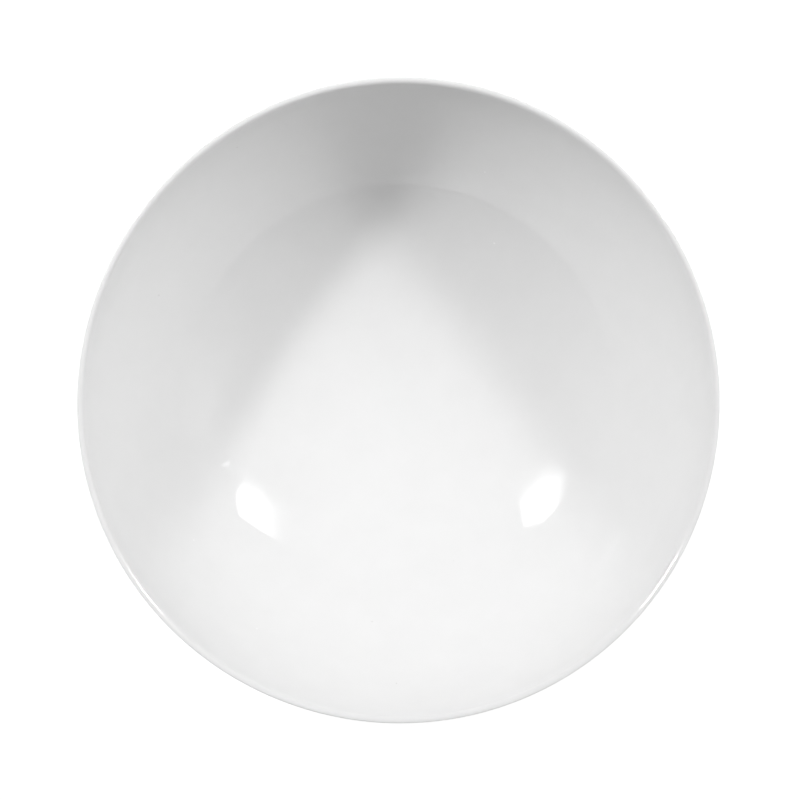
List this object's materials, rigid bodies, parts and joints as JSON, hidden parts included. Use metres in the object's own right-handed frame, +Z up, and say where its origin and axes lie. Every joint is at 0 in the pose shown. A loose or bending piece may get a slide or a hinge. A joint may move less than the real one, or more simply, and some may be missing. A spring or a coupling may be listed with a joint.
{
  "type": "salad bowl",
  "caption": "Round white glazed porcelain salad bowl with a thin rounded lip, a smooth deep inside and a foot ring wiped free of glaze.",
  "frame": {"origin": "centre of the foot ring, on the plane that the bowl stands on", "axes": "+Z up along the axis that the bowl is turned about, out of its mouth; X and Y are alike"},
  "size_m": [0.25, 0.25, 0.088],
  "materials": {
    "bare_porcelain": "fired and unglazed, smooth matt",
    "white_glaze": "clear glossy glaze over white",
    "base_glaze": "clear glossy glaze over white, thinner"
  },
  "bodies": {
    "root": {"porcelain_body": "bare_porcelain", "glaze_coat": "white_glaze", "base_glaze": "base_glaze"}
  },
  "joints": []
}
